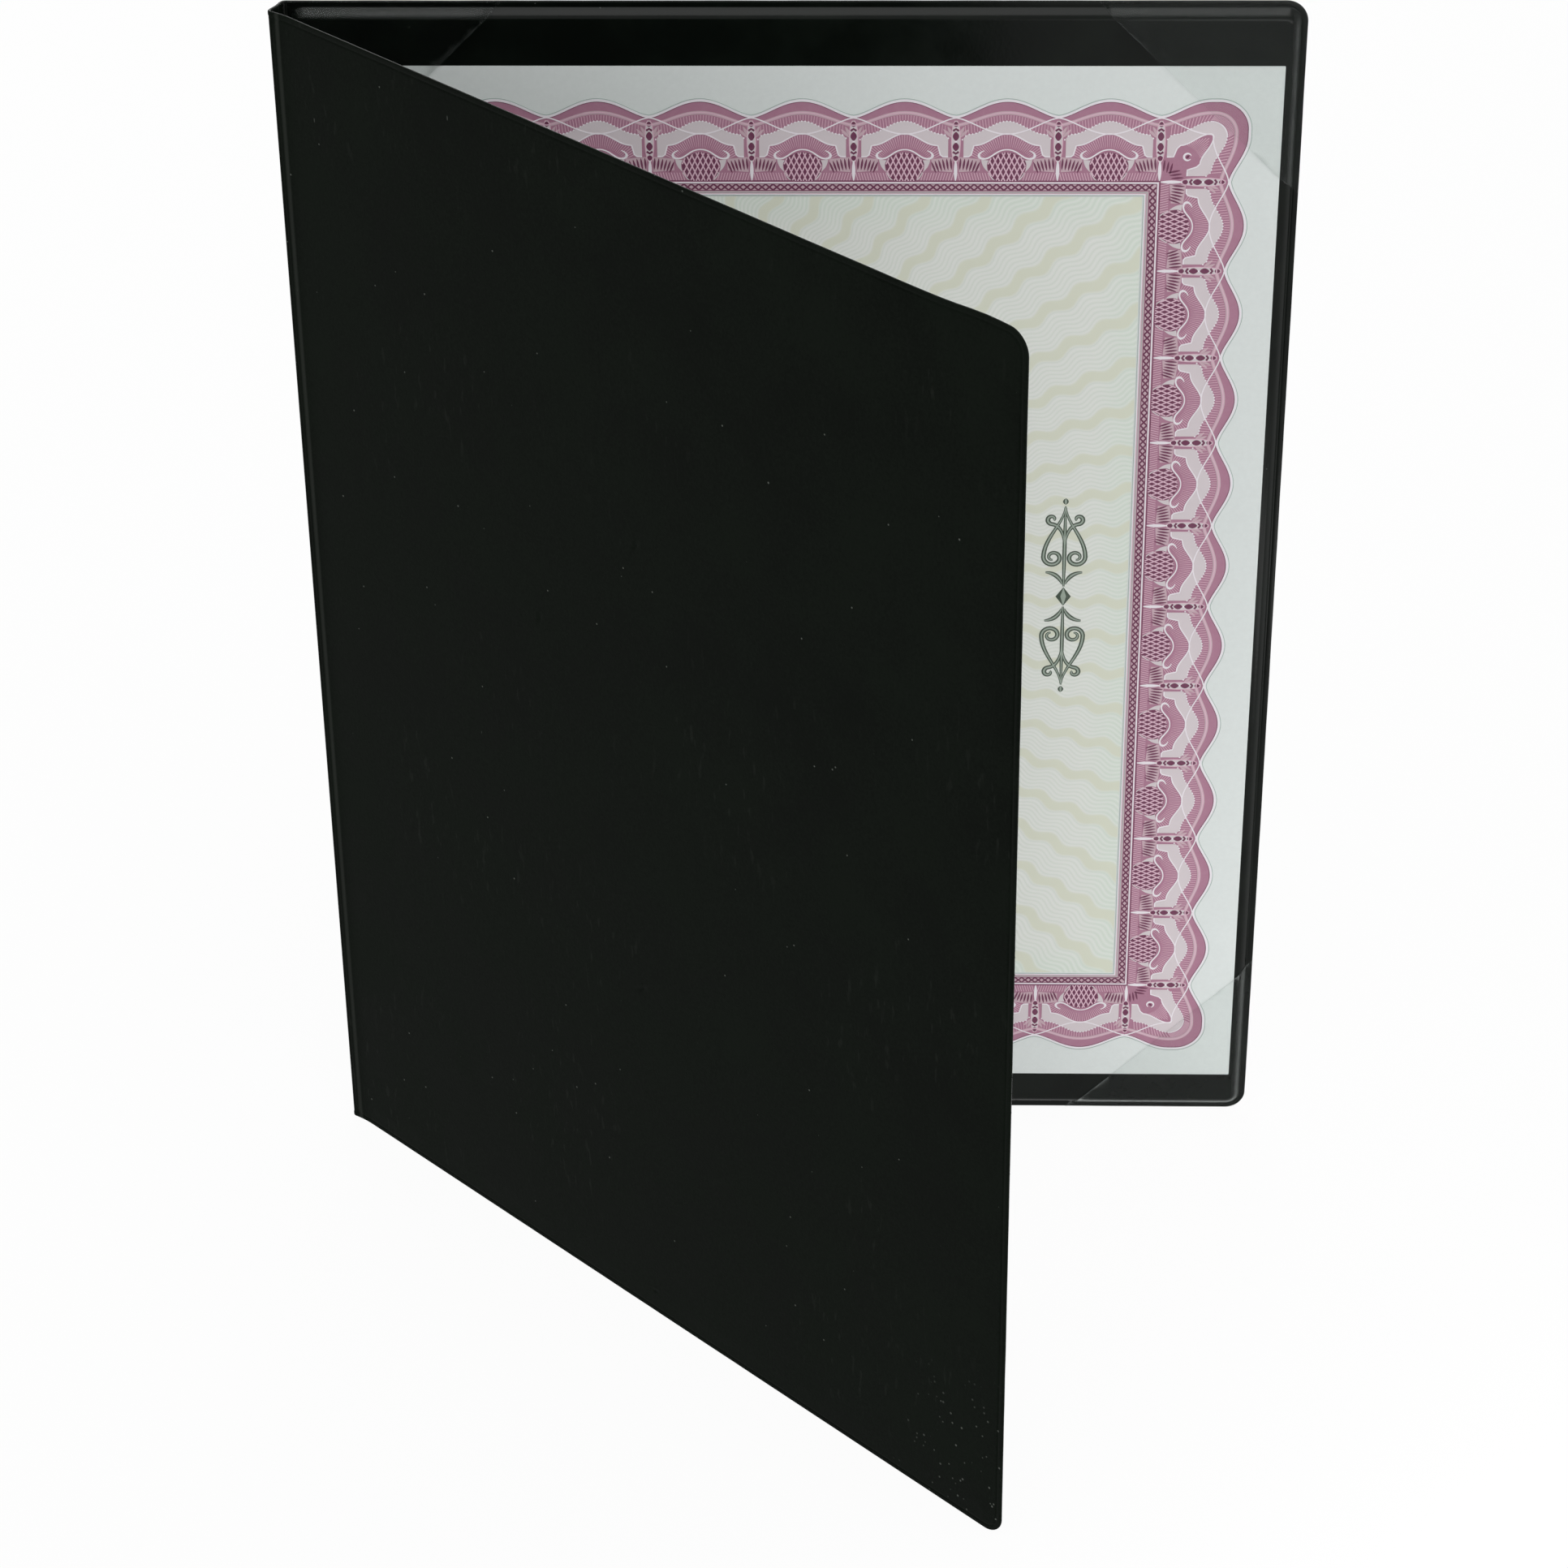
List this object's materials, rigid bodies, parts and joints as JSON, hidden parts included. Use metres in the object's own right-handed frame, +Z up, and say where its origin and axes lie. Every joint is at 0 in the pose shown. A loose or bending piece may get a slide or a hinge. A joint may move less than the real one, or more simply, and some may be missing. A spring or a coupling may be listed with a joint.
{
  "type": "certificate holder",
  "caption": "Book-style vinyl certificate holder standing open: two stiff welded panels on a soft spine, with four clear corners that hold a sheet on the back panel.",
  "frame": {"origin": "middle of the back panel's bottom edge, on the plane where its two skins are welded together; the holder stands on z = 0", "axes": "+Z up along the folds, +X from the spine to the back panel's free edge, -Y out of the face that carries the certificate, towards the front cover"},
  "size_m": [0.2303, 0.1637, 0.306],
  "materials": {
    "black_vinyl": "satin",
    "black_lining": "satin",
    "greyboard": "matte",
    "clear_film": "gloss",
    "printed_paper": "matte"
  },
  "bodies": {
    "spine": {"spine_outer_skin": "black_vinyl", "spine_inner_skin": "black_lining"},
    "back_panel": {"back_outer_skin": "black_vinyl", "back_board": "greyboard", "back_inner_skin": "black_lining", "clear_corner_fold_top": "clear_film", "clear_corner_fold_bottom": "clear_film", "clear_corner_free_top": "clear_film", "clear_corner_free_bottom": "clear_film", "certificate_sheet": "printed_paper"},
    "front_cover": {"front_outer_skin": "black_vinyl", "front_board": "greyboard", "front_inner_skin": "black_lining"}
  },
  "joints": [
    {"name": "back_fold", "type": "hinge", "parent": "spine", "child": "back_panel", "pos_m": [-0.11425, 0, 0], "axis": [0, 0, 1], "range_deg": [-22, 158]},
    {"name": "front_fold", "type": "hinge", "parent": "spine", "child": "front_cover", "pos_m": [-0.11567, -0.00352, 0], "axis": [0, 0, -1], "range_deg": [-22, 158]}
  ],
  "couplings": [
    {"joint": "front_fold", "follows": "back_fold", "ratio": 1}
  ]
}
